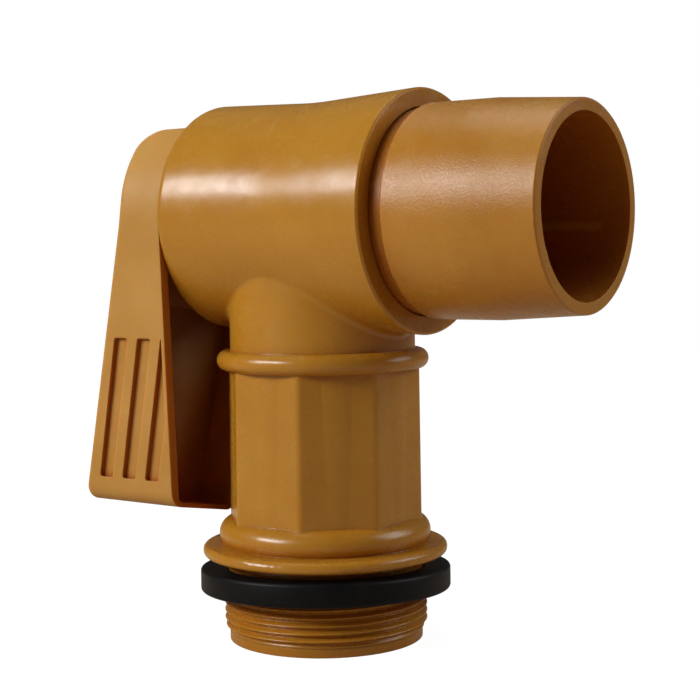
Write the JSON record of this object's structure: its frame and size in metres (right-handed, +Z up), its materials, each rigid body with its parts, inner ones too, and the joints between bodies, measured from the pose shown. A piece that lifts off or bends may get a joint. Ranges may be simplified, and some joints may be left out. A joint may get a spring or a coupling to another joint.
{
  "type": "barrel tap",
  "caption": "Moulded barrel tap: threaded inlet with flange and gasket, cross barrel, hollow core that ends in the spout, and a hollow paddle handle that turns the core by a quarter turn.",
  "frame": {"origin": "centre of the inlet's lower end, on the inlet's axis", "axes": "+Z up the inlet's axis towards the cross barrel, +X along the cross barrel towards the spout's mouth, +Y to the left when looking out of the spout"},
  "size_m": [0.1573, 0.074, 0.1589],
  "materials": {
    "tan_plastic": "satin moulded polyethylene, tan",
    "spout_plastic": "satin moulded polyethylene, tan, with a fine grain",
    "handle_plastic": "satin moulded polyethylene, light tan",
    "gasket_rubber": "matte black rubber",
    "seal_rubber": "black rubber",
    "plated_steel": "bright zinc plate"
  },
  "bodies": {
    "housing": {"body": "tan_plastic", "bung_gasket": "gasket_rubber"},
    "turning_core": {"spout_core": "spout_plastic", "front_seal_ring": "seal_rubber", "back_seal_ring": "seal_rubber", "paddle_handle": "handle_plastic", "handle_washer": "plated_steel", "handle_screw": "plated_steel"}
  },
  "joints": [
    {"name": "quarter_turn", "type": "hinge", "parent": "housing", "child": "turning_core", "pos_m": [0, 0, 0.1244], "axis": [1, 0, 0], "range_deg": [-80, 10]}
  ]
}
